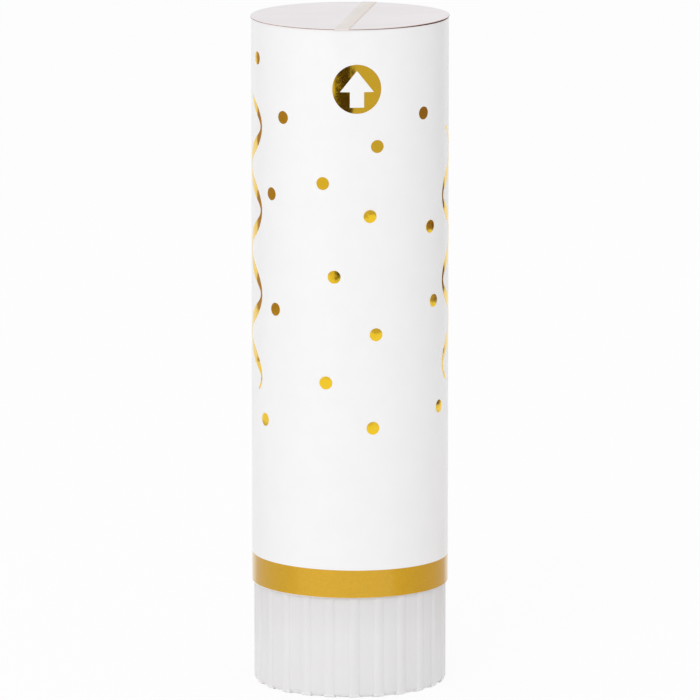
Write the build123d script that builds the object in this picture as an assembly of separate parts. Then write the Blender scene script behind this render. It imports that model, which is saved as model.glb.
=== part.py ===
from build123d import *
import os
from math import cos, pi, sin

# Confetti popper: a printed paper tube that stands on a ribbed twist base.
# A coil spring waits under a piston, held down by a bayonet foot in the base. Turning the base
# to its release stop frees the foot, and the piston drives the confetti and the lid out.
# Millimetres, +Z up, origin on the table under the middle of the base, front towards -Y.
# The model is drawn at the release stop; a quarter turn back is the loaded, locked state.

# Clearances that all pieces share, and how far a cut runs past what it cuts
run_clearance = 0.3
glue_gap = 0.1
overrun = 1.0

# Paper tube, its printed wrap and the foil band at the foot
wrap_diameter = 50.0
wrap_thickness = 0.25
tube_wall = 1.6
tube_length = 145.0
band_height = 7.2

# Twist base: fluted skirt, floor, snap bead
base_height = 26.0
tube_gap = 0.1
grip_inset = 0.5
rib_count = 24
rib_height = 0.3
rib_width = 2.6
rib_foot_round = 0.9
rib_turn = 2.5
skirt_wall = 1.8
skirt_foot_round = 1.5
shoulder_round = 0.15
recess_depth = 2.0
base_floor = 2.0
bead_drop = 2.2
bead_height = 2.0
bead_depth = 0.7

# Bayonet: the piston's foot and the claws and stops of the base
foot_length = 16.0
foot_width = 4.0
foot_thickness = 2.5
foot_floor_gap = 1.5
claw_bite = 3.4
claw_side_gap = 0.6
claw_thickness = 2.2
claw_post = 2.0
stop_size = 3.0

# Spring housing: neck in the base, sleeve glued into the tube
housing_gap = 0.5
housing_floor = 2.0
housing_wall = 1.6
housing_lead_in = 0.6
sleeve_length = 12.0

# Launch spring
wire_diameter = 1.6
spring_turns = 8
spring_side_gap = 1.4
spring_end_gap = 0.1
seat_gap = 0.5
seat_wall = 1.2
seat_height = 2.5

# Piston, wad and confetti
piston_floor = 1.8
piston_wall = 1.4
piston_height = 8.0
stem_width = 6.0
gusset_drop = 9.0
gusset_thickness = 1.6
wad_thickness = 1.0
charge_gap = 0.4

# Lid and the paper tape across it
lid_thickness = 0.5
lid_overhang = 0.2
tape_width = 3.3
tape_thickness = 0.12
tape_lap = 0.1
tape_offset = 1.7
tape_turn = 8.0

# Radii that follow from the tube
wrap_radius = wrap_diameter / 2
tube_radius = wrap_radius - wrap_thickness
tube_bore = tube_radius - tube_wall
rib_crest = wrap_radius - grip_inset
skirt_radius = rib_crest - rib_height
skirt_bore = skirt_radius - skirt_wall
rib_crown = rib_width**2 / (8 * rib_height) + rib_height / 2
neck_radius = skirt_bore - run_clearance
neck_bore = neck_radius - housing_wall
sleeve_radius = tube_bore - glue_gap
sleeve_bore = sleeve_radius - housing_wall
bead_radius = skirt_bore - bead_depth
groove_radius = bead_radius - run_clearance
spring_radius = neck_bore - spring_side_gap - wire_diameter / 2
seat_radius = spring_radius - wire_diameter / 2 - seat_gap
seat_bore = seat_radius - seat_wall
piston_radius = tube_bore - run_clearance
piston_bore = piston_radius - piston_wall
lid_radius = wrap_radius + lid_overhang

# Heights above the table, from the base upwards
base_floor_top = recess_depth + base_floor
foot_low = base_floor_top + foot_floor_gap
foot_high = foot_low + foot_thickness
claw_low = foot_high + run_clearance
claw_high = claw_low + claw_thickness
housing_low = claw_high + housing_gap
housing_floor_top = housing_low + housing_floor
base_top = base_height - tube_gap
bead_high = base_top - bead_drop
bead_low = bead_high - bead_height
band_top = base_height + band_height
housing_top = base_height + sleeve_length
piston_low = housing_top + run_clearance
piston_floor_top = piston_low + piston_floor
piston_top = piston_low + piston_height
wad_top = piston_floor_top + wad_thickness
tube_top = base_height + tube_length
lid_top = tube_top + lid_thickness


def disc(radius, low, high):
    """Upright cylinder on the axis between two heights."""
    return Pos(0, 0, low) * extrude(Circle(radius), high - low)


def ring(outer, inner, low, high):
    """Upright tube on the axis between two heights."""
    return disc(outer, low, high) - disc(inner, low - overrun, high + overrun)


def block(x_low, x_high, y_low, y_high, low, high):
    """Box between two corners."""
    return Pos(x_low, y_low, low) * Box(x_high - x_low, y_high - y_low, high - low, align=(Align.MIN,) * 3)


def turned(*lines):
    """Solid turned about Z from the closed outline (radius, height) that the lines make."""
    return revolve(Plane.XZ * make_face(list(lines)), Axis.Z)


def paper_tube():
    return ring(tube_radius, tube_bore, base_height, tube_top)


def printed_wrap():
    """Coated paper glued round the tube above the foil band."""
    return ring(wrap_radius, tube_radius, band_top, tube_top)


def gold_band():
    """Foil-faced strip of the wrap at the foot of the tube."""
    return ring(wrap_radius, tube_radius, base_height, band_top)


def drum(radius, foot_round):
    """Solid as high as the base, with its foot edge and its shoulder rounded."""
    foot = Line((0, 0), (radius - foot_round, 0))
    foot_arc = TangentArc(foot @ 1, (radius, foot_round), tangent=foot % 1)
    side = Line(foot_arc @ 1, (radius, base_top - shoulder_round))
    shoulder = TangentArc(side @ 1, (radius - shoulder_round, base_top), tangent=side % 1)
    close = Polyline(shoulder @ 1, (0, base_top), (0, 0))
    return turned(foot, foot_arc, side, shoulder, close)


def fluted_skirt():
    """Outside of the base: a round wall with straight crowned ribs, whose feet are sharper than its own."""
    rib_root = rib_height + skirt_foot_round
    shank = Pos(-rib_root / 2, 0) * Rectangle(rib_root, rib_width)
    rib = shank & (Pos(-rib_crown, 0) * Circle(rib_crown))
    front = -90 + rib_turn
    places = PolarLocations(rib_crest, rib_count, start_angle=front)
    ribs = extrude(Sketch() + [place * rib for place in places], base_top)
    return drum(skirt_radius, skirt_foot_round) + (ribs & drum(rib_crest, rib_foot_round))


def skirt_hollow():
    """Inside of the base above its floor, narrowed by the snap bead."""
    return turned(
        Polyline(
            (0, base_floor_top),
            (skirt_bore, base_floor_top),
            (skirt_bore, bead_low),
            (bead_radius, bead_low + bead_depth),
            (bead_radius, bead_high - bead_depth),
            (skirt_bore, bead_high),
            (skirt_bore, base_top + overrun),
            (0, base_top + overrun),
            close=True,
        )
    )


def twist_base():
    """Fluted base with two claws over floor windows and two stops for the bayonet foot."""
    base = fluted_skirt() - skirt_hollow() - disc(skirt_bore, -overrun, recess_depth)
    half_claw = foot_width / 2
    claw_tip = foot_length / 2 - claw_bite
    post_inner = foot_length / 2 + claw_side_gap
    post_outer = post_inner + claw_post
    stop_inner = foot_width / 2 + run_clearance
    stop_outer = stop_inner + stop_size
    post = block(-half_claw, half_claw, post_inner, post_outer, base_floor_top, claw_high)
    hook = block(-half_claw, half_claw, claw_tip, post_outer, claw_low, claw_high)
    stop = block(-stop_outer, -stop_inner, stop_inner, stop_outer, base_floor_top, foot_high)
    window = block(-half_claw, half_claw, claw_tip, post_inner, 0, base_floor_top + overrun)
    for turn in (0, 180):
        base -= Rot(0, 0, turn) * window
        base += Rot(0, 0, turn) * (post + hook)
        base += Rot(0, 0, turn) * stop
    return base


def spring_housing():
    """Cup glued into the tube's foot: its neck snaps into the base, its floor has the key slot."""
    shell = turned(
        Polyline(
            (0, housing_low),
            (neck_radius - housing_lead_in, housing_low),
            (neck_radius, housing_low + housing_lead_in),
            (neck_radius, bead_low - run_clearance),
            (groove_radius, bead_low - run_clearance),
            (groove_radius, bead_high + run_clearance),
            (neck_radius, bead_high + run_clearance),
            (neck_radius, base_height),
            (sleeve_radius, base_height),
            (sleeve_radius, housing_top),
            (sleeve_bore, housing_top),
            (sleeve_bore, base_height + housing_wall),
            (neck_bore, base_height + housing_wall),
            (neck_bore, housing_floor_top),
            (0, housing_floor_top),
            close=True,
        )
    )
    half_length = foot_length / 2 + run_clearance
    half_width = foot_width / 2 + run_clearance
    slot_low = housing_low - overrun
    slot_high = housing_floor_top + overrun
    slot = block(-half_length, half_length, -half_width, half_width, slot_low, slot_high)
    seat = ring(seat_radius, seat_bore, housing_floor_top, housing_floor_top + seat_height)
    return shell - slot + seat


def piston_gusset(start):
    """Triangular web from the stem to the spring seat, towards +X."""
    reach = seat_bore + seat_wall / 2
    tip = piston_low - gusset_drop
    outline = Polyline((start, piston_low), (reach, piston_low), (start, tip), close=True)
    return extrude(Plane.XZ * make_face(outline), gusset_thickness / 2, both=True)


def piston():
    """Open cup in the tube with a spring seat below, and the stem and foot that the base holds."""
    half_width = foot_width / 2
    half_stem = stem_width / 2
    half_foot = foot_length / 2
    hollow = disc(piston_bore, piston_floor_top, piston_top + overrun)
    cup = disc(piston_radius, piston_low, piston_top) - hollow
    seat = ring(seat_radius, seat_bore, piston_low - seat_height, piston_low)
    stem = block(-half_stem, half_stem, -half_width, half_width, foot_low, piston_low)
    foot = block(-half_foot, half_foot, -half_width, half_width, foot_low, foot_high)
    body = cup + seat + stem + foot
    for turn in (0, 180):
        body += Rot(0, 0, turn) * piston_gusset(half_stem)
    for turn in (90, 270):
        body += Rot(0, 0, turn) * piston_gusset(half_width)
    return body


def wad_disc():
    return disc(piston_bore - glue_gap, piston_floor_top, wad_top)


def confetti_charge():
    """Loose confetti: it fills the piston's cup and the tube up to the lid."""
    in_cup = disc(piston_bore - run_clearance, wad_top, piston_top)
    in_tube = disc(tube_bore - charge_gap, piston_top, tube_top - charge_gap)
    return in_cup + in_tube


spring_low = housing_floor_top + spring_end_gap + wire_diameter / 2
spring_high = piston_low - spring_end_gap - wire_diameter / 2
spring_pitch = (spring_high - spring_low) / spring_turns
half_turns = 2 * spring_turns


def spring_point(turns):
    """Point of the wire's centre line after so many turns."""
    angle = 2 * pi * turns
    return Vector(spring_radius * cos(angle), spring_radius * sin(angle), spring_low + spring_pitch * turns)


def spring_tangent(turns):
    angle = 2 * pi * turns
    around = 2 * pi * spring_radius
    return Vector(-around * sin(angle), around * cos(angle), spring_pitch).normalized()


def biarc(start, start_dir, end, end_dir):
    """Two arcs that meet smoothly, from one point and direction to another."""
    chord = end - start
    both = start_dir + end_dir
    spread = 2 * (1 - start_dir.dot(end_dir))
    along = chord.dot(both)
    reach = ((along * along + spread * chord.dot(chord)) ** 0.5 - along) / spread
    corner_a = start + start_dir * reach
    corner_b = end - end_dir * reach
    middle = (corner_a + corner_b) * 0.5
    return [
        TangentArc(start, middle, tangent=start_dir),
        TangentArc(middle, end, tangent=corner_b - corner_a),
    ]


def launch_spring():
    """Round wire coiled between the housing floor and the piston."""
    arcs = []
    for step in range(half_turns):
        first = step / 2
        last = first + 0.5
        arcs += biarc(spring_point(first), spring_tangent(first), spring_point(last), spring_tangent(last))
    path = Wire(arcs)
    section = Plane(origin=spring_point(0), z_dir=spring_tangent(0)) * Circle(wire_diameter / 2)
    return sweep(section, path=path)


def spring_self_gap():
    """Least clear distance between the wire and itself one turn on, measured on points."""
    samples_per_turn = 36
    count = samples_per_turn * spring_turns
    points = [spring_point(step / samples_per_turn) for step in range(count + 1)]
    least = min(
        (points[near] - points[far]).length
        for near in range(count + 1)
        for far in range(near + samples_per_turn // 2, count + 1)
    )
    return least - wire_diameter


def lid_disc():
    return disc(lid_radius, tube_top, lid_top)


def lid_tape():
    """Paper tape across the lid, a little off the middle, folded down over the rim at both ends."""
    tape_low = tube_top - tape_lap
    tape_top = lid_top + tape_thickness
    under_tape = disc(lid_radius, tape_low - overrun, lid_top)
    cap = disc(lid_radius + tape_thickness, tape_low, tape_top) - under_tape
    half_width = tape_width / 2
    reach = lid_radius + tape_thickness + overrun
    strip = block(-half_width, half_width, -reach, reach, tape_low, tape_top)
    return cap & (Pos(tape_offset, 0, 0) * Rot(0, 0, -tape_turn) * strip)


nodes = {
    "paper_tube": paper_tube(),
    "printed_wrap": printed_wrap(),
    "gold_band": gold_band(),
    "spring_housing": spring_housing(),
    "twist_base": twist_base(),
    "piston": piston(),
    "wad_disc": wad_disc(),
    "confetti_charge": confetti_charge(),
    "launch_spring": launch_spring(),
    "lid_disc": lid_disc(),
    "lid_tape": lid_tape(),
}

os.makedirs("parts", exist_ok=True)
for name, solid in nodes.items():
    export_step(solid, f"parts/{name}.step")

wire_length = spring_turns * ((2 * pi * spring_radius) ** 2 + spring_pitch**2) ** 0.5
wire_volume = pi * (wire_diameter / 2) ** 2 * wire_length
print(f"launch_spring least gap to itself {spring_self_gap():.2f} mm")
print(f"launch_spring volume {nodes['launch_spring'].volume:.1f} against {wire_volume:.1f} mm3 of wire")
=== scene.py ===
import random
from math import cos, pi, radians, sin, sqrt, tan

import bmesh
import bpy
from bpy.props import FloatProperty, FloatVectorProperty, IntProperty, PointerProperty
from bpy.types import NodeSocket, Operator, Panel, PropertyGroup
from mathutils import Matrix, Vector


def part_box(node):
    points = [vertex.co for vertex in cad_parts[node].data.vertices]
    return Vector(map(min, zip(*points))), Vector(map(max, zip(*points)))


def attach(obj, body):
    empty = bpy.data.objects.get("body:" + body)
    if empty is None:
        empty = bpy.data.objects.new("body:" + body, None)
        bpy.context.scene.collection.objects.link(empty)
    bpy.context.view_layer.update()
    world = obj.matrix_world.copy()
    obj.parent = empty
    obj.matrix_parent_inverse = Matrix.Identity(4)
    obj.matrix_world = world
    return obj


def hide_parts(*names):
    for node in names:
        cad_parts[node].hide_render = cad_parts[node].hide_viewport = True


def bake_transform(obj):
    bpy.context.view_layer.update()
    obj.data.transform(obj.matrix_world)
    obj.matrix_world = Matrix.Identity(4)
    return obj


bl_info = {
    "name": "Confetti popper",
    "version": (1, 0, 0),
    "blender": (4, 5, 0),
    "location": "View3D > Sidebar > Popper",
    "description": "Dresses the packed confetti popper and sets up its studio",
    "category": "Object",
}

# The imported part, in metres: +Z up along the tube, -Y towards the front with the arrow sign.
# Places on the tube are an angle to the right of the front line and a height above the tube's foot.
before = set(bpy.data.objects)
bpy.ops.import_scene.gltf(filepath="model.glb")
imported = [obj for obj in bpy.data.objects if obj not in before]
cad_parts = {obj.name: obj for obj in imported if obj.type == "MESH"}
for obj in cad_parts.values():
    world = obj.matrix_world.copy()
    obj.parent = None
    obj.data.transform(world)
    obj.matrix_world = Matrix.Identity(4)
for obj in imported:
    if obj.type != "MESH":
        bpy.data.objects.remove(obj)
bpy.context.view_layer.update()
MM = 0.001

wrap_low, wrap_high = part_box("printed_wrap")
band_low, band_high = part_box("gold_band")
tube_low, tube_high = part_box("paper_tube")
lid_low, lid_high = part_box("lid_disc")
charge_low, charge_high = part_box("confetti_charge")
spring_low, spring_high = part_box("launch_spring")
piston_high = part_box("piston")[1]
base_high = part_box("twist_base")[1]

wrap_radius = wrap_high.x
lid_radius = lid_high.x
charge_radius = charge_high.x

# Foil dots on the front: degrees, millimetres, and the degrees that the foil leans down
front_dots = [
    (-69, 135.7, 0), (-42.3, 122, 0), (47.6, 122.9, 0), (15.9, 115.5, 0), (-15.9, 106.1, 0),
    (-52.2, 102.1, 0), (11.6, 97.8, 2.6), (53.7, 93.7, 2.6), (-9.2, 82.4, 0.9), (-48.7, 72.8, -2.2),
    (57.5, 74.5, 1.4), (15.2, 67.6, 1.2), (-14.1, 55.3, 2.4), (-59.1, 43.8, 0.8), (64.2, 46.9, -0.6),
    (13.4, 43.7, 0.4),
]

# Foil streamers: middle angle, lowest and highest millimetre, waves, phase in turns
streamers = [
    (-73, 51, 126, 3.5, 0.10),
    (79, 53, 118, 3.0, 0.55),
    (113, 67, 133, 3.0, 0.20),
    (146, 33, 97, 3.0, 0.80),
    (214, 35, 103, 3.0, 0.05),
    (249, 55, 125, 3.0, 0.65),
]

# Cards round the stage that only reflections see: first and last angle, form, colour.
# A form is the inner and outer radius and the height of the far edge, in metres.
tall_card = (0.5, 2.2, 0.55)
flat_card = (0.06, 0.3, 0.002)
gloss_cards = [
    (-70, -16, tall_card, (0.75, 0.69, 0.72)),
    (-16, 2.5, tall_card, (0.05, 0.03, 0.03)),
    (2.5, 70, tall_card, (0.60, 0.56, 0.77)),
    (70, 113, tall_card, (0.26, 0.17, 0.30)),
    (113, 142, tall_card, (0.15, 0.08, 0.06)),
    (222, 290, tall_card, (0.41, 0.29, 0.40)),
    (48, 142, flat_card, (0.55, 0.43, 0.40)),
    (222, 300, flat_card, (0.58, 0.56, 0.58)),
]


class PopperPaper(PropertyGroup):
    """Papers and boards of the tube, the lid and the tape"""

    wrap_colour: FloatVectorProperty(
        name="Wrap", description="Coated paper round the tube", subtype="COLOR", default=(0.895, 0.893, 0.892)
    )
    lap_width: FloatProperty(
        name="Lap width", description="Overlap of the rolled sheet", unit="LENGTH", default=7 * MM
    )
    lap_step: FloatProperty(
        name="Lap step", description="Height of the lap's edge", unit="LENGTH", default=0.12 * MM
    )
    proud_edge: FloatProperty(
        name="Proud edge", description="Wrap above the board's rim", unit="LENGTH", default=0.05 * MM
    )
    band_colour: FloatVectorProperty(
        name="Band", description="Gold ink of the band", subtype="COLOR", default=(0.70, 0.392, 0.0)
    )
    band_skew: FloatProperty(
        name="Band skew", description="How far the print is askew", subtype="ANGLE", default=radians(0.65)
    )
    # Pale paper strip under the gold, where the ink stops short, and painted highlight: it stands in for the
    # shine on the base's top edge and lightens the shade under the band
    bare_and_highlight_edge: FloatProperty(
        name="Bare and highlight edge", description="Paper left bare under the band", unit="LENGTH", default=0.09 * MM
    )
    bare_and_highlight_skew: FloatProperty(
        name="Bare and highlight skew", description="How far that edge is askew", subtype="ANGLE", default=radians(0.2)
    )
    board_colour: FloatVectorProperty(
        name="Board", description="Board of the tube and wad", subtype="COLOR", default=(0.46, 0.40, 0.33)
    )
    lid_colour: FloatVectorProperty(
        name="Lid", description="White face of the lid", subtype="COLOR", default=(0.875, 0.84, 0.85)
    )
    # The kraft is the card's real brown core, made darker as painted shade for the gap under the lid
    kraft_and_shade_colour: FloatVectorProperty(
        name="Kraft", description="Brown core of the lid", subtype="COLOR", default=(0.38, 0.20, 0.155)
    )
    lid_card: FloatProperty(
        name="Lid card", description="Thickness of the lid's card", unit="LENGTH", default=0.20 * MM
    )
    # A thin white ply leaves a wide brown edge, partly painted shade for the gap under the lid
    lid_face: FloatProperty(
        name="Lid face", description="White ply on the kraft and shade core", unit="LENGTH", default=0.06 * MM
    )
    lid_lift: FloatProperty(
        name="Lid lift", description="How far the lid stands off its rim", unit="LENGTH", default=0.35 * MM
    )
    lid_lift_side: FloatProperty(
        name="Lift side", description="Side where the lid stands off", subtype="ANGLE", default=radians(70)
    )
    tape_colour: FloatVectorProperty(
        name="Tape", description="Paper tape over the lid", subtype="COLOR", default=(0.80, 0.76, 0.725)
    )
    soak_colour: FloatVectorProperty(
        name="Soaked tape", description="Tape over its glue", subtype="COLOR", default=(0.81, 0.735, 0.695)
    )
    dark_edge_colour: FloatVectorProperty(
        name="Dark edge", description="Tape's darker edge", subtype="COLOR", default=(0.72, 0.63, 0.57)
    )
    tape_width: FloatProperty(
        name="Tape width", description="Width of the tape", unit="LENGTH", default=3.7 * MM
    )
    tape_offset: FloatProperty(
        name="Tape offset", description="Tape's place beside the middle", unit="LENGTH", default=1.5 * MM
    )
    tape_turn: FloatProperty(
        name="Tape turn", description="How far the tape lies askew", subtype="ANGLE", default=radians(8)
    )
    tape_gauge: FloatProperty(
        name="Tape thickness", description="Thickness of the tape", unit="LENGTH", default=0.08 * MM
    )


class PopperFoil(PropertyGroup):
    """Gold foil stamped on the wrap"""

    foil_colour: FloatVectorProperty(
        name="Foil", description="Colour of the stamped foil", subtype="COLOR", default=(0.97, 0.64, 0.035)
    )
    foil_gauge: FloatProperty(
        name="Foil thickness", description="How far the foil stands proud", unit="LENGTH", default=0.02 * MM
    )
    dot_diameter: FloatProperty(
        name="Dot diameter", description="Size of a foil dot", unit="LENGTH", default=3.3 * MM
    )
    dot_crown: FloatProperty(
        name="Dot crown", description="Rise of a dot's middle", unit="LENGTH", default=0.04 * MM
    )
    back_dots: IntProperty(
        name="Back dots", description="Dots scattered over the back", default=26, min=0, max=80
    )
    sign_diameter: FloatProperty(
        name="Sign diameter", description="Size of the arrow sign", unit="LENGTH", default=12.4 * MM
    )
    sign_angle: FloatProperty(
        name="Sign angle", description="Place of the sign", subtype="ANGLE", default=radians(4)
    )
    sign_height: FloatProperty(
        name="Sign height", description="Sign's middle above the foot", unit="LENGTH", default=130.1 * MM
    )
    streamer_width: FloatProperty(
        name="Streamer width", description="Widest part of a streamer", unit="LENGTH", default=2.8 * MM
    )
    streamer_sway: FloatProperty(
        name="Streamer sway", description="Half the reach of its waves", unit="LENGTH", default=4.2 * MM
    )


class PopperPlastic(PropertyGroup):
    """Moulded plastics"""

    base_colour: FloatVectorProperty(
        name="Base", description="Milky plastic of the base", subtype="COLOR", default=(0.795, 0.785, 0.79)
    )
    inner_colour: FloatVectorProperty(
        name="Inner parts", description="Housing and piston", subtype="COLOR", default=(0.74, 0.74, 0.72)
    )


class PopperInside(PropertyGroup):
    """Spring and confetti"""

    steel_colour: FloatVectorProperty(
        name="Steel", description="Steel of the spring", subtype="COLOR", default=(0.56, 0.56, 0.57)
    )
    wire_diameter: FloatProperty(
        name="Wire", description="Diameter of the spring wire", unit="LENGTH", default=1.6 * MM
    )
    spring_turns: IntProperty(name="Turns", description="Turns of the spring", default=8, min=2, max=24)
    flake_count: IntProperty(
        name="Flakes", description="Confetti pieces that are tried", default=1500, min=0, max=4000
    )
    flake_length: FloatProperty(
        name="Flake length", description="Length of a confetti piece", unit="LENGTH", default=9 * MM
    )
    flake_width: FloatProperty(
        name="Flake width", description="Width of a confetti piece", unit="LENGTH", default=4.5 * MM
    )
    flake_gauge: FloatProperty(
        name="Flake thickness", description="Thickness of a piece", unit="LENGTH", default=0.08 * MM
    )
    gold_colour: FloatVectorProperty(
        name="Gold flakes", description="Metallised flakes", subtype="COLOR", default=(0.90, 0.60, 0.10)
    )
    white_colour: FloatVectorProperty(
        name="White flakes", description="Tissue flakes", subtype="COLOR", default=(0.86, 0.85, 0.82)
    )


class PopperStage(PropertyGroup):
    """Camera, floor and light"""

    aim_height: FloatProperty(
        name="Aim height", description="Height the camera looks at", unit="LENGTH", default=85.3 * MM
    )
    distance: FloatProperty(
        name="Distance", description="Camera to the point it looks at", unit="LENGTH", default=2.02
    )
    elevation: FloatProperty(
        name="Elevation", description="Camera above the horizon", subtype="ANGLE", default=radians(10.38)
    )
    lens: FloatProperty(name="Lens", description="Focal length in millimetres", default=408.0)
    sensor: FloatProperty(name="Sensor", description="Sensor width in millimetres", default=36.0)
    floor_colour: FloatVectorProperty(
        name="Floor", description="Pale floor", subtype="COLOR", default=(0.95, 0.95, 0.95)
    )
    floor_size: FloatProperty(
        name="Floor size", description="Radius of the floor", unit="LENGTH", default=6.0
    )
    ambient: FloatProperty(name="Ambient", description="Even light from all round", default=0.86)
    key_power: FloatProperty(name="Key", description="Power of the left lamp in watts", default=9.0)


# Node helpers
noise_range = (0.3, 0.7)


def add(owner, kind, inputs=None, **settings):
    """New node in a tree, or in a socket's tree; inputs are values or sockets to link from."""
    tree = owner.id_data
    node = tree.nodes.new(kind)
    for key, value in settings.items():
        setattr(node, key, value)
    for key, value in (inputs or {}).items():
        if isinstance(value, NodeSocket):
            tree.links.new(value, node.inputs[key])
        else:
            node.inputs[key].default_value = value
    return node


def calc(operation, first, second=0.0):
    return add(first, "ShaderNodeMath", {0: first, 1: second}, operation=operation).outputs[0]


def noise(place, scale, detail=2.0, roughness=0.5):
    values = {"Vector": place, "Scale": scale, "Detail": detail, "Roughness": roughness}
    return add(place, "ShaderNodeTexNoise", values).outputs["Fac"]


def stretched(place, factors):
    """Place with each axis multiplied, so a pattern runs long where the factor is small."""
    return add(place, "ShaderNodeVectorMath", {0: place, 1: factors}, operation="MULTIPLY").outputs[0]


def remapped(value, low, high, to_low=0.0, to_high=1.0):
    values = {"Value": value, "From Min": low, "From Max": high, "To Min": to_low, "To Max": to_high}
    return add(value, "ShaderNodeMapRange", values, interpolation_type="SMOOTHSTEP").outputs[0]


def spread(value, low=0.0, high=1.0):
    """The usual range of a noise, widened or narrowed to run from low to high."""
    return remapped(value, *noise_range, low, high)


def mixed(share, first, second):
    """Colour between two, by a share."""
    ends = [end if isinstance(end, NodeSocket) else (*end, 1.0) for end in (first, second)]
    return add(share, "ShaderNodeMix", {0: share, 6: ends[0], 7: ends[1]}, data_type="RGBA").outputs[2]


def shaded(colour, factor):
    return tuple(channel * factor for channel in colour)


def toned(share, colour, first, second):
    """One colour between two tones of it, by a share."""
    return mixed(share, shaded(colour, first), shaded(colour, second))


def bump(height, depth, strength):
    values = {"Height": height, "Distance": depth, "Strength": strength}
    return add(height, "ShaderNodeBump", values).outputs[0]


# Effects that several finishes share: each is a node group with a place and a scale
def paper_fibre(place, scale):
    """Felted fibre with long strands, and soft clouds."""
    cloud = noise(place, calc("MULTIPLY", scale, 0.12))
    felt = noise(place, scale, detail=4.0, roughness=0.65)
    strands = noise(stretched(place, (1.0, 1.0, 0.12)), scale)
    height = calc("ADD", calc("MULTIPLY", felt, 0.7), calc("MULTIPLY", strands, 0.3))
    return {"Height": height, "Cloud": spread(cloud)}


def moulded_skin(place, scale):
    """Fine pebbles of a mould, and the long marks where the plastic flowed."""
    pebble = noise(place, scale, detail=3.0, roughness=0.6)
    drawn = stretched(place, (1.0, 1.0, 0.06))
    flow = noise(drawn, calc("MULTIPLY", scale, 0.25), detail=3.0)
    return {"Height": pebble, "Flow": spread(flow)}


def foil_crinkle(place, scale):
    """Slow swells with a fine grain on them."""
    swell = noise(place, scale, detail=1.0)
    grain = noise(place, calc("MULTIPLY", scale, 14.0), detail=3.0, roughness=0.7)
    height = calc("ADD", swell, calc("MULTIPLY", grain, 0.012))
    return {"Height": height, "Grain": grain}


def handling_marks(place, scale):
    """Patches that fingers have polished or soiled."""
    smudge = noise(place, scale, detail=5.0, roughness=0.6)
    return {"Marks": remapped(smudge, 0.52, 0.68)}


def effect(build):
    """Node group of an effect, built once and named after its function."""
    name = build.__name__.replace("_", " ").capitalize()
    if name in bpy.data.node_groups:
        return bpy.data.node_groups[name]
    group = bpy.data.node_groups.new(name, "ShaderNodeTree")
    group.interface.new_socket("Place", in_out="INPUT", socket_type="NodeSocketVector")
    group.interface.new_socket("Scale", in_out="INPUT", socket_type="NodeSocketFloat")
    source = group.nodes.new("NodeGroupInput")
    results = build(source.outputs["Place"], source.outputs["Scale"])
    for label in results:
        group.interface.new_socket(label, in_out="OUTPUT", socket_type="NodeSocketFloat")
    add(group, "NodeGroupOutput", results)
    return group


def use(build, place, scale):
    """An effect's outputs, placed in a material with its own scale."""
    return add(place, "ShaderNodeGroup", {"Place": place, "Scale": scale}, node_tree=effect(build)).outputs


def finish(name, **sockets):
    """New material and the place on its piece; the shader's sockets take _ for spaces."""
    material = bpy.data.materials.new(name)
    material.use_nodes = True
    tree = material.node_tree
    for key, value in sockets.items():
        tree.nodes["Principled BSDF"].inputs[key.replace("_", " ")].default_value = value
    return material, add(tree, "ShaderNodeTexCoord").outputs["Object"]


def feed(material, **sockets):
    """Links node outputs to the shader's sockets, and gives the material back."""
    tree = material.node_tree
    for key, source in sockets.items():
        tree.links.new(source, tree.nodes["Principled BSDF"].inputs[key.replace("_", " ")])
    return material


# Finishes
def coated_paper(colour):
    """White coated paper: satin, with a trace of fibre under the coat."""
    material, place = finish("coated_paper", IOR=1.45, Coat_Weight=0.25, Coat_Roughness=0.22)
    fibre = use(paper_fibre, place, scale=1400.0)
    marks = use(handling_marks, place, scale=45.0)["Marks"]
    return feed(
        material,
        Base_Color=toned(fibre["Cloud"], colour, 0.988, 1.0),
        Roughness=remapped(marks, 0.0, 1.0, 0.46, 0.52),
        Normal=bump(fibre["Height"], depth=0.01 * MM, strength=0.35),
    )


def plain_paper(name, colour, tones=(0.9, 1.0), roughness=(0.75, 0.9), gloss=0.25, strength=0.5):
    """Uncoated paper, tissue or board: felted and slightly cloudy."""
    material, place = finish(name, IOR=1.4, Specular_IOR_Level=gloss)
    fibre = use(paper_fibre, place, scale=800.0)
    return feed(
        material,
        Base_Color=toned(fibre["Cloud"], colour, *tones),
        Roughness=spread(fibre["Height"], *roughness),
        Normal=bump(fibre["Height"], depth=0.03 * MM, strength=strength),
    )


def kraft_and_shade_core(colour):
    """Brown core of the lid's card, open on its cut edge and underside, darkened as painted shade for the gap
    under the lid.
    """
    return plain_paper(
        "kraft_and_shade_core", colour, tones=(0.75, 1.15), roughness=(0.85, 0.95), gloss=0.2, strength=0.7
    )


def lid_paper(colour):
    """Uncoated white face of the lid, a little soiled."""
    material, place = finish("lid_paper", IOR=1.4, Specular_IOR_Level=0.3)
    fibre = use(paper_fibre, place, scale=900.0)
    marks = use(handling_marks, place, scale=60.0)["Marks"]
    clean = toned(fibre["Cloud"], colour, 0.975, 1.0)
    return feed(
        material,
        Base_Color=mixed(calc("MULTIPLY", marks, 0.2), clean, shaded(colour, 0.94)),
        Roughness=spread(fibre["Height"], 0.6, 0.75),
        Normal=bump(fibre["Height"], depth=0.02 * MM, strength=0.5),
    )


# Board: width and thickness of a ply, a seam's share of its width, the wad's tone beside the tube's
ply_width = 90 * MM
ply_gauge = 0.4 * MM
seam_share = 0.012
wad_tone = 1.1


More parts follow.
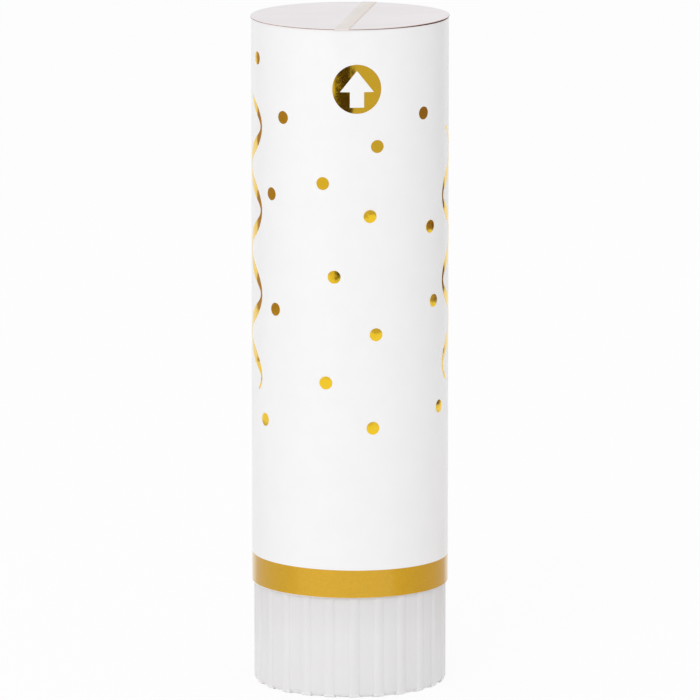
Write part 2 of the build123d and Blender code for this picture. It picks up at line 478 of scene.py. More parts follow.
def wound_board(colour):
    """Grey board: spiral plies round the wall, rings of plies on the cut rim, flecked fibre."""
    material, place = finish("wound_board", IOR=1.4, Specular_IOR_Level=0.25)
    fibre = use(paper_fibre, place, scale=700.0)
    parts = add(place, "ShaderNodeSeparateXYZ", {0: place}).outputs
    level = stretched(place, (1.0, 1.0, 0.0))
    reach = add(level, "ShaderNodeVectorMath", {0: level}, operation="LENGTH").outputs["Value"]
    turns = calc("DIVIDE", calc("ARCTAN2", parts["Y"], parts["X"]), 2 * pi)
    climb = calc("ADD", calc("DIVIDE", parts["Z"], ply_width), turns)
    seam = remapped(calc("PINGPONG", climb, 0.5), 0.0, seam_share, 1.0, 0.0)
    ply = calc("SINE", calc("MULTIPLY", reach, 2 * pi / ply_gauge))
    tone = toned(fibre["Cloud"], colour, 0.82, 1.08)
    ruled = mixed(remapped(ply, 0.2, 1.0, 0.0, 0.35), tone, shaded(colour, 0.7))
    height = calc("SUBTRACT", fibre["Height"], calc("MULTIPLY", seam, 1.5))
    return feed(
        material,
        Base_Color=mixed(calc("MULTIPLY", seam, 0.6), ruled, shaded(colour, 0.55)),
        Roughness=spread(fibre["Height"], 0.82, 0.95),
        Normal=bump(height, depth=0.05 * MM, strength=0.6),
    )


# Glue under the tape and its darker edge, in shares of the tape's width from its middle
glue_blotch_share = 0.5
soak_shares = (0.1, 0.5)
dark_edge_shares = (0.6, 0.75)


def creped_tape(paper):
    """Creped ivory paper tape, soaked by its glue on one side and darker brown along that edge."""
    material, place = finish("creped_tape", IOR=1.45, Specular_IOR_Level=0.35)
    fibre = use(paper_fibre, place, scale=1100.0)
    crepe = noise(stretched(place, (1.0, 5.0, 1.0)), scale=420.0)
    across = (cos(paper.tape_turn) / paper.tape_width, -sin(paper.tape_turn) / paper.tape_width, 0.0)
    side = add(place, "ShaderNodeVectorMath", {0: place, 1: across}, operation="DOT_PRODUCT").outputs["Value"]
    middle = paper.tape_offset * across[0]
    blotch = calc("MULTIPLY", noise(place, scale=380.0, detail=3.0), glue_blotch_share)
    glue = calc("ADD", side, blotch)
    soak = remapped(glue, *(middle + share for share in soak_shares))
    # Darker and browner towards the glued edge
    dark_edge = remapped(glue, *(middle + share for share in dark_edge_shares))
    clean = toned(fibre["Cloud"], paper.tape_colour, 0.96, 1.03)
    soaked = mixed(soak, clean, paper.soak_colour)
    return feed(
        material,
        Base_Color=mixed(dark_edge, soaked, paper.dark_edge_colour),
        Roughness=spread(fibre["Height"], 0.5, 0.62),
        Normal=bump(calc("ADD", fibre["Height"], crepe), depth=0.03 * MM, strength=0.6),
    )


def stamped_foil(colour):
    """Bright gold foil that follows the paper's slight waves."""
    material, place = finish("stamped_foil", Metallic=1.0)
    crinkle = use(foil_crinkle, place, scale=260.0)
    return feed(
        material,
        Base_Color=toned(crinkle["Grain"], colour, 0.86, 1.0),
        Roughness=spread(crinkle["Grain"], 0.06, 0.2),
        Normal=bump(crinkle["Height"], depth=0.25 * MM, strength=0.6),
    )


def gold_flake(colour):
    """Metallised confetti."""
    material, place = finish("gold_flake", Metallic=0.9)
    crinkle = use(foil_crinkle, place, scale=320.0)
    return feed(
        material,
        Base_Color=toned(crinkle["Grain"], colour, 0.8, 1.0),
        Roughness=spread(crinkle["Grain"], 0.18, 0.36),
        Normal=bump(crinkle["Height"], depth=0.15 * MM, strength=0.5),
    )


def gold_ink(colour):
    """Satin metallic ink under a thin clear coat, paler at a glance."""
    material, place = finish(
        "gold_ink",
        Metallic=0.35,
        IOR=1.3,
        Coat_Weight=0.8,
        Coat_Roughness=0.16,
        Sheen_Weight=0.5,
        Sheen_Roughness=0.3,
    )
    grain = use(foil_crinkle, place, scale=150.0)["Grain"]
    fibre = use(paper_fibre, place, scale=1400.0)
    return feed(
        material,
        Base_Color=toned(remapped(grain, 0.35, 0.65), colour, 0.91, 1.0),
        Roughness=spread(grain, 0.36, 0.5),
        Normal=bump(fibre["Height"], depth=0.01 * MM, strength=0.5),
    )


# Painted shade high on the wall in front of the neck, and painted light over the foot's contact shade
neck_shade_shares = (0.55, 0.9)
painted_foot_light_height = 1.2 * MM


def milky_plastic(colour):
    """Translucent plastic with long flow marks, painted shade where the neck stands behind the wall and
    painted light on its foot.
    """
    material, place = finish(
        "milky_plastic",
        IOR=1.49,
        Specular_IOR_Level=0.2,
        Subsurface_Weight=0.3,
        Subsurface_Scale=0.6 * MM,
        Subsurface_Radius=(1.0, 0.95, 0.9),
    )
    skin = use(moulded_skin, place, scale=900.0)
    marks = use(handling_marks, place, scale=70.0)["Marks"]
    height = add(place, "ShaderNodeSeparateXYZ", {0: place}).outputs["Z"]
    # Painted shade: darker towards the top, where the neck stands behind the wall
    neck = remapped(height, *(share * base_high.z for share in neck_shade_shares))
    # Painted light: brighter towards the foot, where the floor's shade falls
    foot = remapped(height, 0.0, painted_foot_light_height, 1.0, 0.0)
    clear = toned(skin["Flow"], colour, 0.985, 1.01)
    dimmed = mixed(neck, clear, shaded(colour, 0.95))
    return feed(
        material,
        Base_Color=mixed(foot, dimmed, shaded(colour, 1.16)),
        Roughness=remapped(calc("ADD", skin["Flow"], marks), 0.0, 1.6, 0.28, 0.38),
        Normal=bump(calc("ADD", skin["Height"], skin["Flow"]), depth=0.02 * MM, strength=0.3),
    )


def inner_plastic(colour):
    """Plain matt plastic of the moulded parts inside."""
    material, place = finish("inner_plastic", IOR=1.49, Specular_IOR_Level=0.4)
    skin = use(moulded_skin, place, scale=1300.0)
    marks = use(handling_marks, place, scale=90.0)["Marks"]
    return feed(
        material,
        Base_Color=toned(skin["Flow"], colour, 0.95, 1.04),
        Roughness=remapped(marks, 0.0, 1.0, 0.5, 0.62),
        Normal=bump(skin["Height"], depth=0.02 * MM, strength=0.6),
    )


def drawn_steel(colour):
    """Spring wire with a fine grain and a little oil."""
    material, place = finish("drawn_steel", Metallic=1.0)
    crinkle = use(foil_crinkle, place, scale=600.0)
    marks = use(handling_marks, place, scale=120.0)["Marks"]
    return feed(
        material,
        Base_Color=toned(marks, colour, 1.0, 0.7),
        Roughness=spread(crinkle["Grain"], 0.24, 0.42),
        Normal=bump(crinkle["Height"], depth=0.01 * MM, strength=0.5),
    )


# Mesh helpers
def piece(name, points, faces, materials, indices=None, crease=radians(38)):
    """Smooth mesh object with its normals outwards and its edges sharp past the crease angle."""
    mesh = bpy.data.meshes.new(name)
    mesh.from_pydata(points, [], faces)
    for material in materials:
        mesh.materials.append(material)
    if indices:
        mesh.polygons.foreach_set("material_index", indices)
    build = bmesh.new()
    build.from_mesh(mesh)
    bmesh.ops.recalc_face_normals(build, faces=build.faces)
    build.to_mesh(mesh)
    build.free()
    mesh.polygons.foreach_set("use_smooth", [True] * len(mesh.polygons))
    mesh.set_sharp_from_angle(angle=crease)
    return placed(name, mesh)


def placed(name, data):
    """New object in the scene."""
    made = bpy.data.objects.new(name, data)
    bpy.context.scene.collection.objects.link(made)
    return made


def skin_faces(rows, columns, loop_rows=False, loop_columns=True):
    """Quads over rows of points, each row as long as the others."""
    faces = []
    for row in range(rows if loop_rows else rows - 1):
        here = row * columns
        there = (row + 1) % rows * columns
        for step in range(columns if loop_columns else columns - 1):
            after = (step + 1) % columns
            faces.append((here + step, here + after, there + after, there + step))
    return faces


def column_faces(rows, columns):
    """Quads over rows of points that close on themselves, and a face on either end."""
    last = (rows - 1) * columns
    return skin_faces(rows, columns) + [tuple(range(columns)), tuple(range(last, last + columns))]


def full_turn(steps):
    """Even angles round a full turn."""
    return [2 * pi * step / steps for step in range(steps)]


def on_round(angle, height, radius):
    """Point at an angle to the right of the front line, on a round about the tube's axis."""
    return Vector((radius * sin(angle), -radius * cos(angle), height))


def dress(node, material):
    """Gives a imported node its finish."""
    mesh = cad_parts[node].data
    mesh.materials.clear()
    mesh.materials.append(material)


# Wrap and band: one rolled sheet, lapped at the back
sheet_steps = 240
seam_angle = radians(176)
seam_edge = radians(0.03)
lap_fade_share = 0.6


def sheet_outline(paper):
    """Angle and outer radius round the sheet, starting on the edge of its lap."""
    lap = paper.lap_width / wrap_radius
    outline = []
    for angle in full_turn(sheet_steps):
        share = min(1.0, max(0.0, (lap - angle) / (lap * lap_fade_share)))
        outline.append((seam_angle + angle, wrap_radius + paper.lap_step * share))
    outline.append((seam_angle - seam_edge, wrap_radius))
    return outline


def rolled_sheet(name, rims, paper, materials):
    """Sheet round the tube through rims (height, skew); its lowest strip has the last material."""
    outline = sheet_outline(paper)
    rows = [(*rim, True) for rim in rims] + [(*rims[-1], False), (*rims[0], False)]
    points = []
    for level, skew, outside in rows:
        for angle, radius in outline:
            drop = tan(skew) * wrap_radius * sin(angle)
            points.append(on_round(angle, level - drop, radius if outside else tube_high.x))
    faces = skin_faces(len(rows), len(outline), loop_rows=True)
    lowest = [len(materials) - 1] * len(outline)
    indices = lowest + [0] * (len(faces) - len(outline))
    return piece(name, points, faces, materials, indices)


# Foil: flat patches of (arc, height, crown), pressed on to the wrap
foil_sink = 0.03 * MM
dot_sides = 32
dot_ring_shares = (0.35, 0.7, 1.0)


def rim_edges(faces):
    """Edges that only one face has, in that face's direction."""
    edges = {(face[i - 1], face[i]) for face in faces for i in range(len(face))}
    return sorted(edge for edge in edges if edge[::-1] not in edges)


def on_wrap(arc, height, rise):
    return on_round(arc / wrap_radius, height, wrap_radius + rise)


def stamped(name, patches, gauge, material):
    """One closed piece from patches, each with its face on top, its underside in the paper."""
    points, faces = [], []
    for flat, top in patches:
        start = len(points)
        under = start + len(flat)
        points += [on_wrap(arc, height, gauge + crown) for arc, height, crown in flat]
        points += [on_wrap(arc, height, -foil_sink) for arc, height, crown in flat]
        faces += [[start + corner for corner in face] for face in top]
        faces += [[under + corner for corner in reversed(face)] for face in top]
        faces += [(start + b, start + a, under + a, under + b) for a, b in rim_edges(top)]
    return piece(name, points, faces, [material])


def dot_patch(arc, height, lean, foil):
    """Crowned dot whose face leans down by an angle, with its lower or upper edge on the paper."""
    radius = foil.dot_diameter / 2
    slope = tan(radians(lean))
    flat = [(arc, height, foil.dot_crown + abs(slope) * radius)]
    for share in dot_ring_shares:
        for turn in full_turn(dot_sides):
            up = radius * share * sin(turn)
            crown = foil.dot_crown * (1 - share * share) + slope * up + abs(slope) * radius
            flat.append((arc + radius * share * cos(turn), height + up, crown))
    faces = [(0, 1 + step, 1 + (step + 1) % dot_sides) for step in range(dot_sides)]
    rings = skin_faces(len(dot_ring_shares), dot_sides)
    faces += [[1 + corner for corner in reversed(face)] for face in rings]
    return flat, faces


streamer_rows = 150
streamer_thin_share = 0.3
streamer_end_share = 0.08
streamer_tip_share = 0.02
streamer_crown = 0.02 * MM


def streamer_line(foil, spec, share):
    """Arc, height, slope and width of a streamer at a share of its length."""
    middle, low, high, waves, phase = spec
    turn = 2 * pi * (waves * share + phase)
    length = (high - low) * MM
    arc = radians(middle) * wrap_radius + foil.streamer_sway * sin(turn)
    slope = foil.streamer_sway * cos(turn) * 2 * pi * waves / length
    broad = streamer_thin_share + (1 - streamer_thin_share) * cos(turn) ** 2
    taper = min(1.0, share / streamer_end_share, (1 - share) / streamer_end_share)
    width = foil.streamer_width * broad * sqrt(max(taper, streamer_tip_share))
    return arc, tube_low.z + low * MM + length * share, slope, width


def streamer_patch(foil, spec):
    """Ribbon of foil with a slight ridge along its middle."""
    flat = []
    for row in range(streamer_rows + 1):
        arc, height, slope, width = streamer_line(foil, spec, row / streamer_rows)
        across = Vector((1.0, -slope)).normalized() * width / 2
        flat.append((arc - across.x, height - across.y, 0.0))
        flat.append((arc, height, streamer_crown))
        flat.append((arc + across.x, height + across.y, 0.0))
    return flat, skin_faces(streamer_rows + 1, 3, loop_columns=False)


# Arrow sign: a disc with an arrow left open, in shares of its radius from its middle
sign_columns = 40
arrow_tip_share = 0.745
arrow_base_share = -0.12
arrow_foot_share = -0.75
arrow_head_share = 0.69
arrow_stem_share = 0.29
same_digits = 5


def sign_levels(across):
    """Heights where a column crosses the disc's foot, the arrow's levels and the disc's top."""
    edge = sqrt(max(0.0, 1 - across * across))
    foot = max(-edge, min(edge, arrow_foot_share))
    base = max(-edge, min(edge, arrow_base_share))
    lean = 1 - min(1.0, abs(across) / arrow_head_share)
    tip = max(base, arrow_base_share + (arrow_tip_share - arrow_base_share) * lean) if lean else base
    return -edge, foot, base, tip, edge


def sign_patch(foil):
    """Disc cut into upright strips that leave the arrow open."""
    radius = foil.sign_diameter / 2
    arc = foil.sign_angle * wrap_radius
    edges = {round(sin(pi / 2 * step / sign_columns), same_digits) for step in range(sign_columns + 1)}
    shares = sorted(edges | {0.0, arrow_stem_share, arrow_head_share})
    shares = [-share for share in reversed(shares[1:])] + shares
    flat, places, faces = [], {}, []

    def corner(across, up):
        """Number of the point there, which strips share."""
        key = (round(across, same_digits), round(up, same_digits))
        if key not in places:
            places[key] = len(flat)
            flat.append((arc + across * radius, tube_low.z + foil.sign_height + up * radius, 0.0))
        return places[key]

    for left, right in zip(shares, shares[1:]):
        a, b = sign_levels(left), sign_levels(right)
        in_stem = abs(left + right) / 2 < arrow_stem_share
        for low, high in ((0, 1), (1, 2), (3, 4)):
            if in_stem and low == 1:
                continue
            ring = [corner(left, a[low]), corner(right, b[low])]
            ring += [corner(right, b[high]), corner(left, a[high])]
            ring = [spot for place, spot in enumerate(ring) if spot != ring[place - 1]]
            if len(set(ring)) > 2:
                faces.append(ring)
    return flat, faces


# Dots on the back: degrees, millimetres above the foot, least distances from others
scatter_seed = 7
scatter_tries = 4000
scatter_angles = (98, 262)
scatter_heights = (39, 137)
scatter_leans = (-1.5, 2.0)
scatter_gap = 10.5 * MM
lap_clear = radians(13)
ribbon_gap = 4.6 * MM
ribbon_marks = 40


def gap_between(first, second):
    """Distance on the unrolled sheet, the short way round."""
    girth = 2 * pi * wrap_radius
    across = abs(first[0] - second[0]) % girth
    return sqrt(min(across, girth - across) ** 2 + (first[1] - second[1]) ** 2)


def scattered_dots(foil, paper):
    """Arc, height and lean of every dot: those on the front, then seeded ones on the back."""
    draw = random.Random(scatter_seed)
    taken = []
    for angle, height, lean in front_dots:
        taken.append((radians(angle) * wrap_radius, tube_low.z + height * MM, lean))
    ribbons = []
    for spec in streamers:
        ribbons += [streamer_line(foil, spec, mark / ribbon_marks)[:2] for mark in range(ribbon_marks + 1)]
    lap_middle = seam_angle + paper.lap_width / wrap_radius / 2
    wanted = len(taken) + foil.back_dots
    for attempt in range(scatter_tries):
        if len(taken) == wanted:
            break
        angle = radians(draw.uniform(*scatter_angles))
        height = tube_low.z + draw.uniform(*scatter_heights) * MM
        spot = (angle * wrap_radius, height, draw.uniform(*scatter_leans))
        clear_lap = abs(angle - lap_middle) > lap_clear
        clear_dots = all(gap_between(spot, other) > scatter_gap for other in taken)
        if clear_lap and clear_dots and all(gap_between(spot, other) > ribbon_gap for other in ribbons):
            taken.append(spot)
    if len(taken) < wanted:
        raise RuntimeError("The back of the wrap has no room for so many dots")
    return taken


# Lid and tape
lid_steps = 128
lid_ring_shares = (0.12, 0.3, 0.5, 0.7, 0.85, 0.95)
lid_round = 0.05 * MM
lid_seat = 0.06 * MM
lid_curl_power = 3


def lid_top(paper, x, y):
    """Height of the card's face, which curls up from the rim towards one side."""
    side = paper.lid_lift_side
    along = (x * sin(side) - y * cos(side)) / lid_radius
    rise = paper.lid_lift * max(0.0, along) ** lid_curl_power
    return lid_low.z + lid_seat + paper.lid_card + rise


def lid_mesh(paper, face, core):
    """White face, rounded cut edge with the brown core below it, brown underside; the core's wide dark edge
    is partly painted shade.
    """
    inner = lid_radius - lid_round
    profile = [(share * inner, 0.0) for share in lid_ring_shares]
    profile += [(inner, 0.0), (lid_radius, lid_round), (lid_radius, paper.lid_face)]
    white_faces = (len(profile) - 1) * lid_steps
    profile += [(lid_radius, paper.lid_card), (inner * lid_ring_shares[-1], paper.lid_card)]
    points = []
    for radius, drop in profile:
        for angle in full_turn(lid_steps):
            spot = on_round(angle, 0.0, radius)
            spot.z = lid_top(paper, spot.x, spot.y) - drop
            points.append(spot)
    faces = skin_faces(len(profile), lid_steps)
    indices = [0] * white_faces + [1] * (len(faces) - white_faces)
    middle = len(points)
    points.append(Vector((0, 0, lid_top(paper, 0, 0))))
    points.append(Vector((0, 0, lid_top(paper, 0, 0) - paper.lid_card)))
    last = middle - lid_steps
    for step in range(lid_steps):
        after = (step + 1) % lid_steps
        faces += [(step, after, middle), (last + after, last + step, middle + 1)]
        indices += [0, 1]
    return piece("lid_card", points, faces, [face, core], indices)


tape_columns = 6
tape_rows = 26
tape_reach = 0.03 * MM
tape_glue = 0.01 * MM


def tape_mesh(paper, material):
    """Tape over the lid that bends down over the rim at both ends."""
    along = Vector((sin(paper.tape_turn), cos(paper.tape_turn)))
    across = Vector((along.y, -along.x))

    def path(offset, gap, lift):
        """Points of one lengthwise line, from the front end over the lid to the back end."""
        line = Vector((paper.tape_offset, 0)) + across * offset
        reach = lid_radius + gap
        middle = line.dot(along)
        half = sqrt(middle * middle - line.length_squared + reach * reach)
        spots = [line + along * (-middle + half * (2 * row / tape_rows - 1)) for row in range(tape_rows + 1)]
        tops = [Vector((spot.x, spot.y, lid_top(paper, spot.x, spot.y) + lift)) for spot in spots]
        front = Vector((tops[0].x, tops[0].y, lid_low.z))
        back = Vector((tops[-1].x, tops[-1].y, lid_low.z))
        return [front, *tops, back]

    points = []
    for column in range(tape_columns + 1):
        offset = paper.tape_width * (column / tape_columns - 0.5)
        points += path(offset, tape_reach + paper.tape_gauge, paper.tape_gauge)
        points += reversed(path(offset, tape_reach, tape_glue))
    ring = 2 * (tape_rows + 3)
    faces = skin_faces(tape_columns + 1, ring)
    for start in (0, ring * tape_columns):
        for row in range(tape_rows + 2):
            faces.append((start + row, start + row + 1, start + ring - 2 - row, start + ring - 1 - row))
    return piece("tape_strip", points, faces, [material])


# Spring
wire_sides = 14
steps_per_turn = 48


def spring_mesh(inside, material):
    """Round wire in a coil from the housing to the piston, with flat ends."""
    radius = inside.wire_diameter / 2
    coil = spring_high.x - radius
    low = spring_low.z + radius
    climb = spring_high.z - radius - low
    count = inside.spring_turns * steps_per_turn
    points = []
    for step in range(count + 1):
        turn = 2 * pi * step / steps_per_turn
        middle = Vector((coil * cos(turn), coil * sin(turn), low + climb * step / count))
        outward = Vector((cos(turn), sin(turn), 0))
        for spin in full_turn(wire_sides):
            points.append(middle + outward * radius * cos(spin) + Vector((0, 0, radius * sin(spin))))
    return piece("spring_coil", points, column_faces(count + 1, wire_sides), [material])


# Confetti: flakes over a dark core, painted shade for the depths of the pile. Ranges of seeded draws are in
# millimetres or shares.
confetti_seed = 21
cup_radius = 21.1 * MM
flake_margin = 0.35 * MM
flake_rows = 4
flake_tries = 12
flake_tilt = 0.55
flake_length_shares = (0.6, 1.1)
flake_width_shares = (0.7, 1.15)
flake_curls = (-0.9, 0.9)
flake_finishes = (1, 1, 2)
golden_turn = pi * (3 - sqrt(5))
turn_jitter = 0.3
top_flake_share = 0.14
top_flake_inset = 2 * MM
top_flake_depths = (0.6, 3.0)
top_flake_pull = 1.6
side_flake_depths = (0.3, 2.0)
side_flake_pull = 1.3
core_steps = 48
core_rows = 28
core_inset = 2.2 * MM
core_foot = 0.3 * MM
core_short = 4 * MM
core_lumps = (-0.6, 0.6)
# Painted shade: the core is the gold darkened, for the shade deep in the pile
painted_core_shade = 0.45


def charge_limit(height):
    """Radius that the confetti may reach at a height: less inside the piston's cup."""
    return (cup_radius if height < piston_high.z else charge_radius) - flake_margin


def flake_place(number, count, draw):
    """Middle and normal of a flake: the first ones lie on the top, the others round the side."""
    top_count = round(count * top_flake_share)
    turn = golden_turn * number + draw.uniform(-turn_jitter, turn_jitter)
    tilt = Vector([draw.gauss(0, 1) for axis in range(3)]) * flake_tilt
    if number < top_count:
        reach = charge_radius * sqrt((number + 0.5) / top_count) - top_flake_inset
        height = charge_high.z - draw.uniform(*top_flake_depths) * MM
        normal = Vector((0, 0, top_flake_pull)) + tilt
    else:
        tall = charge_high.z - charge_low.z
        height = charge_low.z + tall * (number - top_count + draw.random()) / (count - top_count)
        reach = charge_limit(height) - draw.uniform(*side_flake_depths) * MM
        normal = on_round(turn, 0.0, side_flake_pull) + tilt
    return on_round(turn, height, max(0.0, reach)), normal.normalized()


def flake_points(middle, normal, spin, length, width, curl, gauge):
    """Small curled plate of paper, closed, as rows along its length."""
    side = normal.orthogonal().normalized()
    along = side * cos(spin) + normal.cross(side) * sin(spin)
    across = normal.cross(along)
    points = []
    for row in range(flake_rows + 1):
        share = 2 * row / flake_rows - 1
        spine = middle + along * share * length / 2 + normal * curl * (share * share - 0.5)
        for edge, lift in ((-1, 0), (1, 0), (1, 1), (-1, 1)):
            points.append(spine + across * edge * width / 2 + normal * lift * gauge)
    return points


def fits(points):
    """Whether the points stay in the room that the confetti has."""
    return all(
        charge_low.z < spot.z < charge_high.z and spot.xy.length < charge_limit(spot.z) for spot in points
    )


def confetti_core(draw):
    """Points of the lumpy column under the flakes, in rows; the column's dark finish is painted shade."""
    points = []
    tall = charge_high.z - charge_low.z - core_short
    for row in range(core_rows + 1):
        height = charge_low.z + core_foot + tall * row / core_rows
        for angle in full_turn(core_steps):
            radius = charge_limit(height) - core_inset + draw.uniform(*core_lumps) * MM
            points.append(on_round(angle, height, radius))
    return points


def confetti_mesh(inside, materials):
    """Packed confetti: flakes that fit the tube, over a dark core with the first material, painted shade for
    the depths of the pile.
    """
    draw = random.Random(confetti_seed)
    points, faces, indices = [], [], []

    def take(more, skin, finish_number):
        """Adds one closed body with its finish."""
        start = len(points)
        points.extend(more)
        faces.extend(tuple(start + corner for corner in face) for face in skin)
        indices.extend([finish_number] * len(skin))

    plate = column_faces(flake_rows + 1, 4)
    for number in range(inside.flake_count):
        for attempt in range(flake_tries):
            flake = flake_points(
                *flake_place(number, inside.flake_count, draw),
                spin=draw.uniform(0, pi),
                length=inside.flake_length * draw.uniform(*flake_length_shares),
                width=inside.flake_width * draw.uniform(*flake_width_shares),
                curl=draw.uniform(*flake_curls) * MM,
                gauge=inside.flake_gauge,
            )
            if fits(flake):
                take(flake, plate, draw.choice(flake_finishes))
                break
    take(confetti_core(draw), column_faces(core_rows + 1, core_steps), 0)
    return piece("confetti_pile", points, faces, materials, indices, crease=radians(30))


# Operators, one for each piece or group of like pieces
class POPPER_OT_board(Operator):
    """Gives the wound tube and the wad their board"""

    bl_idname = "popper.board"
    bl_label = "Tube board"

    def execute(self, context):
        paper = context.scene.popper_paper
        dress("paper_tube", wound_board(paper.board_colour))
        dress("wad_disc", plain_paper("wad_board", shaded(paper.board_colour, wad_tone)))
        return {"FINISHED"}


class POPPER_OT_wrap(Operator):
    """Rolls the white wrap round the tube"""

    bl_idname = "popper.wrap"
    bl_label = "Printed wrap"

    def execute(self, context):
        paper = context.scene.popper_paper
        rims = [(wrap_low.z, paper.band_skew), (wrap_high.z + paper.proud_edge, 0.0)]
        made = rolled_sheet("wrap_sheet", rims, paper, [coated_paper(paper.wrap_colour)])
        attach(made, "tube")
        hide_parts("printed_wrap")
        return {"FINISHED"}


class POPPER_OT_band(Operator):
    """Rolls the gold band at the foot of the wrap"""

    bl_idname = "popper.band"
    bl_label = "Gold band"

    def execute(self, context):
        paper = context.scene.popper_paper
        # The pale strip is partly painted highlight, lightening the shade under the band
        bare = (band_low.z + paper.bare_and_highlight_edge, paper.bare_and_highlight_skew)
        rims = [(band_low.z, 0.0), bare, (band_high.z, paper.band_skew)]
        finishes = [gold_ink(paper.band_colour), plain_paper("bare_and_highlight_paper", paper.wrap_colour)]
        made = rolled_sheet("band_strip", rims, paper, finishes)
        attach(made, "tube")
        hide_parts("gold_band")
        return {"FINISHED"}


class POPPER_OT_foil(Operator):
    """Stamps the dots, the streamers and the arrow sign on the wrap"""

    bl_idname = "popper.foil"
    bl_label = "Foil print"

    def execute(self, context):
        foil = context.scene.popper_foil
        gold = stamped_foil(foil.foil_colour)
        dots = [dot_patch(*spot, foil) for spot in scattered_dots(foil, context.scene.popper_paper)]
        ribbons = [streamer_patch(foil, spec) for spec in streamers]
        prints = {"foil_dots": dots, "foil_streamers": ribbons, "arrow_sign": [sign_patch(foil)]}
        for name, patches in prints.items():
            made = stamped(name, patches, foil.foil_gauge, gold)
            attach(made, "tube")
        return {"FINISHED"}


class POPPER_OT_base(Operator):
    """Gives the twist base its milky plastic"""

    bl_idname = "popper.base"
    bl_label = "Twist base"

    def execute(self, context):
        dress("twist_base", milky_plastic(context.scene.popper_plastic.base_colour))
        return {"FINISHED"}


class POPPER_OT_inner(Operator):
    """Gives the spring housing and the piston their plain plastic"""

    bl_idname = "popper.inner"
    bl_label = "Housing and piston"

    def execute(self, context):
        plastic = inner_plastic(context.scene.popper_plastic.inner_colour)
        dress("spring_housing", plastic)
        dress("piston", plastic)
        return {"FINISHED"}


class POPPER_OT_spring(Operator):
    """Winds the launch spring"""

    bl_idname = "popper.spring"
    bl_label = "Launch spring"

    def execute(self, context):
        inside = context.scene.popper_inside
        made = spring_mesh(inside, drawn_steel(inside.steel_colour))
        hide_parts("launch_spring")
        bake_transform(made)
        return {"FINISHED"}


class POPPER_OT_confetti(Operator):
    """Packs the confetti over the wad"""

    bl_idname = "popper.confetti"
    bl_label = "Confetti"

    def execute(self, context):
        inside = context.scene.popper_inside
        # Dark core: painted shade for the depths of the pile
        core = plain_paper("shaded_core_tissue", shaded(inside.gold_colour, painted_core_shade))
        white = plain_paper("tissue_flake", inside.white_colour)
        made = confetti_mesh(inside, [core, gold_flake(inside.gold_colour), white])
        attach(made, "pusher")
        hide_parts("confetti_charge")
        return {"FINISHED"}


class POPPER_OT_lid(Operator):
    """Lays the card lid on the tube and tapes it"""

    bl_idname = "popper.lid"
    bl_label = "Lid and tape"

    def execute(self, context):
        paper = context.scene.popper_paper
        card = lid_mesh(paper, lid_paper(paper.lid_colour), kraft_and_shade_core(paper.kraft_and_shade_colour))
        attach(card, "lid")
        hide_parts("lid_disc")
        tape = tape_mesh(paper, creped_tape(paper))
        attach(tape, "lid")
        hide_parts("lid_tape")
        return {"FINISHED"}


# Stage
card_lift = 1 * MM
card_steps = 24
floor_steps = 96
shadow_share = 0.12
key_place = Vector((-0.85, -1.8, 1.0))
key_size = 1.1
white_light = (1.0, 1.0, 1.0, 1.0)


def bare_tree(owner):
    """Emptied node tree of a material or a world."""
    owner.use_nodes = True
    owner.node_tree.nodes.clear()
    return owner.node_tree


def glow(name, colour):
    """Even colour that needs no light, for the cards."""
    material = bpy.data.materials.new(name)
    tree = bare_tree(material)
    light = add(tree, "ShaderNodeEmission", {"Color": (*colour, 1.0), "Strength": 1.0}).outputs[0]
    add(tree, "ShaderNodeOutputMaterial", {"Surface": light})
    return material


def seen_directly(tree):
    """1 for rays from the camera, a mirror or glass, else 0."""
    path = add(tree, "ShaderNodeLightPath").outputs
    shiny = calc("MAXIMUM", path["Is Glossy Ray"], path["Is Transmission Ray"])
    return calc("MAXIMUM", path["Is Camera Ray"], shiny)


def floor_finish(colour):
    """Pale floor that shows white, keeps the soft shadow, and is clear from below."""
    material = bpy.data.materials.new("studio_floor")
    tree = bare_tree(material)
    matt = add(tree, "ShaderNodeBsdfDiffuse", {"Color": (*colour, 1.0)}).outputs[0]
    white = add(tree, "ShaderNodeEmission", {"Color": white_light, "Strength": 1.0}).outputs[0]
    share = calc("MULTIPLY", seen_directly(tree), 1 - shadow_share)
    top = add(tree, "ShaderNodeMixShader", {0: share, 1: matt, 2: white}).outputs[0]
    behind = add(tree, "ShaderNodeNewGeometry").outputs["Backfacing"]
    clear = add(tree, "ShaderNodeBsdfTransparent").outputs[0]
    both = add(tree, "ShaderNodeMixShader", {0: behind, 1: top, 2: clear}).outputs[0]
    add(tree, "ShaderNodeOutputMaterial", {"Surface": both})
    return material


def studio_world(ambient):
    """Even light on the object, white where it is seen."""
    world = bpy.data.worlds.new("studio")
    tree = bare_tree(world)
    dim = add(tree, "ShaderNodeBackground", {"Color": white_light, "Strength": ambient}).outputs[0]
    bright = add(tree, "ShaderNodeBackground", {"Color": white_light, "Strength": 1.0}).outputs[0]
    both = add(tree, "ShaderNodeMixShader", {0: seen_directly(tree), 1: dim, 2: bright}).outputs[0]
    add(tree, "ShaderNodeOutputWorld", {"Surface": both})
    bpy.context.scene.world = world


def aimed(name, data, location, away):
    """Camera or lamp at a place, with its back in a direction."""
    made = placed(name, data)
    made.location = location
    made.rotation_euler = away.to_track_quat("Z", "Y").to_euler()
    return made


def studio_floor(stage):
    """Round floor that faces up."""
    floor = bpy.data.meshes.new("studio_floor")
    rim = [on_round(angle, 0.0, stage.floor_size) for angle in full_turn(floor_steps)]
    floor.from_pydata(rim, [], [tuple(range(floor_steps))])
    floor.materials.append(floor_finish(stage.floor_colour))
    ground = placed("studio_floor", floor)


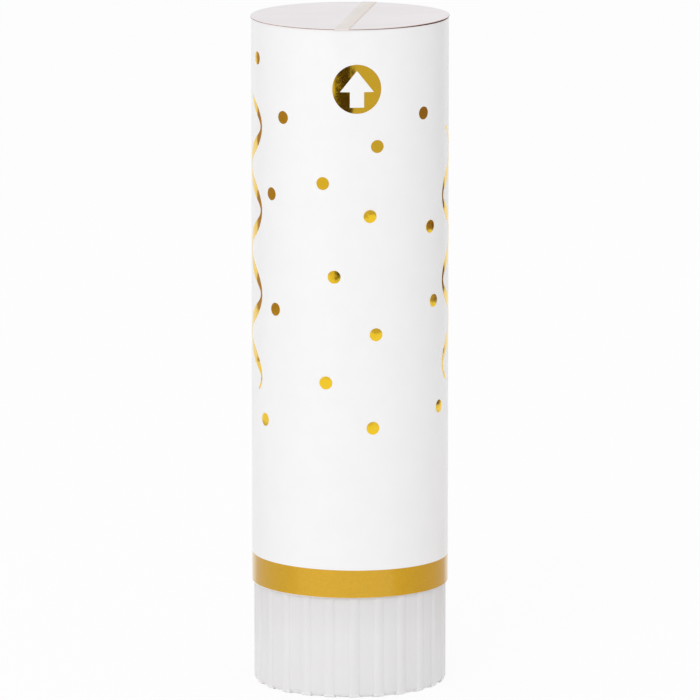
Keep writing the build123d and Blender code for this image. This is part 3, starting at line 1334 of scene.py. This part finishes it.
def gloss_card(number, first, last, form, colour):
    """Card on the floor with an upright edge, seen only in reflections."""
    inner, outer, top = form
    points = []
    for step in range(card_steps + 1):
        angle = radians(first + (last - first) * step / card_steps)
        points.append(on_round(angle, card_lift, inner))
        points.append(on_round(angle, card_lift, outer))
        points.append(on_round(angle, top, outer))
    faces = skin_faces(card_steps + 1, 3, loop_columns=False)
    card = piece(f"gloss_card_{number}", points, faces, [glow(f"gloss_card_{number}", colour)])
    card.visible_camera = False
    card.visible_diffuse = False
    card.visible_shadow = False
    card.visible_transmission = False


class POPPER_OT_stage(Operator):
    """Sets the camera, the floor, the light and the cards that the foil mirrors"""

    bl_idname = "popper.stage"
    bl_label = "Studio"

    def execute(self, context):
        stage = context.scene.popper_stage
        aim = Vector((0, 0, stage.aim_height))
        back = Vector((0, -cos(stage.elevation), sin(stage.elevation)))
        lens = bpy.data.cameras.new("camera")
        lens.lens = stage.lens
        lens.sensor_width = stage.sensor
        context.scene.camera = aimed("camera", lens, aim + back * stage.distance, back)
        context.scene.view_settings.view_transform = "Standard"
        studio_floor(stage)
        lamp = bpy.data.lights.new("key", "AREA")
        lamp.shape = "DISK"
        lamp.size = key_size
        lamp.energy = stage.key_power
        aimed("key", lamp, key_place, key_place - aim)
        studio_world(stage.ambient)
        for number, card in enumerate(gloss_cards, 1):
            gloss_card(number, *card)
        return {"FINISHED"}


class POPPER_PT_sidebar(Panel):
    """Pieces of the popper, in the order they are made"""

    bl_label = "Confetti popper"
    bl_idname = "POPPER_PT_sidebar"
    bl_space_type = "VIEW_3D"
    bl_region_type = "UI"
    bl_category = "Popper"

    def draw(self, context):
        for operator in operators:
            self.layout.operator(operator.bl_idname)
        for name in settings:
            box = self.layout.box()
            group = getattr(context.scene, name)
            for prop in group.bl_rna.properties:
                if prop.identifier not in ("rna_type", "name"):
                    box.prop(group, prop.identifier)


settings = {
    "popper_paper": PopperPaper,
    "popper_foil": PopperFoil,
    "popper_plastic": PopperPlastic,
    "popper_inside": PopperInside,
    "popper_stage": PopperStage,
}
operators = (
    POPPER_OT_stage,
    POPPER_OT_board,
    POPPER_OT_wrap,
    POPPER_OT_band,
    POPPER_OT_foil,
    POPPER_OT_base,
    POPPER_OT_inner,
    POPPER_OT_spring,
    POPPER_OT_confetti,
    POPPER_OT_lid,
)


def register():
    for group in settings.values():
        bpy.utils.register_class(group)
    for name, group in settings.items():
        setattr(bpy.types.Scene, name, PointerProperty(type=group))
    for operator in operators:
        bpy.utils.register_class(operator)
    bpy.utils.register_class(POPPER_PT_sidebar)


def unregister():
    bpy.utils.unregister_class(POPPER_PT_sidebar)
    for operator in reversed(operators):
        bpy.utils.unregister_class(operator)
    for name, group in settings.items():
        delattr(bpy.types.Scene, name)
        bpy.utils.unregister_class(group)


def main():
    register()
    bpy.ops.popper.stage()
    bpy.ops.popper.board()
    bpy.ops.popper.wrap()
    bpy.ops.popper.band()
    bpy.ops.popper.foil()
    bpy.ops.popper.base()
    bpy.ops.popper.inner()
    bpy.ops.popper.spring()
    bpy.ops.popper.confetti()
    bpy.ops.popper.lid()


if __name__ == "__main__":
    main()
